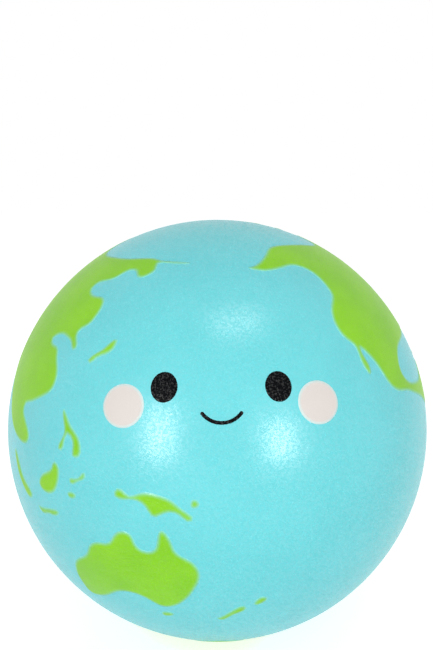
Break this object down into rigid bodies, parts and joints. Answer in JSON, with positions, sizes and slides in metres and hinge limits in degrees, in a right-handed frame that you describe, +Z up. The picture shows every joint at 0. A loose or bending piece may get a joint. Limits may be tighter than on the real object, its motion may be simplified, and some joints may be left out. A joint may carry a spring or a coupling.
{
  "type": "stress ball",
  "caption": "Squeezable foam stress ball moulded as a small globe, with raised green lands on a blue sea and a simple printed smiling face.",
  "frame": {"origin": "middle of the small flat at the south pole that the ball stands on", "axes": "+Z up through the north pole, the printed face looks along -Y, +X to the right of the face as seen by a viewer in front of it"},
  "size_m": [0.0702, 0.0702, 0.0697],
  "materials": {
    "foam": "soft open-cell polyurethane foam, cream",
    "blue_coat": "soft satin sky-blue coat with a fine speckled grain",
    "green_paint": "soft satin lime-green spray paint",
    "black_print": "satin pad-printed black ink",
    "pale_print": "satin pad-printed off-white ink"
  },
  "bodies": {
    "lower": {"foam_core": "foam", "coat_lower": "blue_coat", "land_antarctica": "green_paint", "land_australia": "green_paint", "land_south_america": "green_paint", "island_new_guinea": "green_paint", "island_new_britain": "green_paint", "island_borneo": "green_paint", "island_sumatra": "green_paint", "island_java": "green_paint", "island_sulawesi": "green_paint", "island_flores": "green_paint", "island_tasmania": "green_paint", "island_new_zealand_south": "green_paint", "island_new_zealand_north": "green_paint", "island_madagascar": "green_paint"},
    "upper": {"cheek_left": "pale_print", "cheek_right": "pale_print", "coat_upper": "blue_coat", "eye_left": "black_print", "eye_right": "black_print", "island_baffin": "green_paint", "island_cuba": "green_paint", "island_great_britain": "green_paint", "island_hispaniola": "green_paint", "island_iceland": "green_paint", "island_ireland": "green_paint", "island_japan": "green_paint", "island_philippines": "green_paint", "island_sri_lanka": "green_paint", "land_africa": "green_paint", "land_eurasia": "green_paint", "land_greenland": "green_paint", "land_north_america": "green_paint", "mouth": "black_print"}
  },
  "joints": [
    {"name": "squeeze", "type": "slide", "parent": "lower", "child": "upper", "axis": [0, 0, -1], "range_m": [0, 0.028], "stiffness_N_per_m": 1800, "deforming": ["foam_core", "coat_lower", "land_antarctica", "land_australia", "land_south_america", "island_new_guinea", "island_new_britain", "island_borneo", "island_sumatra", "island_java", "island_sulawesi", "island_flores", "island_tasmania", "island_new_zealand_south", "island_new_zealand_north", "island_madagascar", "cheek_left", "cheek_right", "coat_upper", "eye_left", "eye_right", "island_baffin", "island_cuba", "island_great_britain", "island_hispaniola", "island_iceland", "island_ireland", "island_japan", "island_philippines", "island_sri_lanka", "land_africa", "land_eurasia", "land_greenland", "land_north_america", "mouth"]}
  ]
}
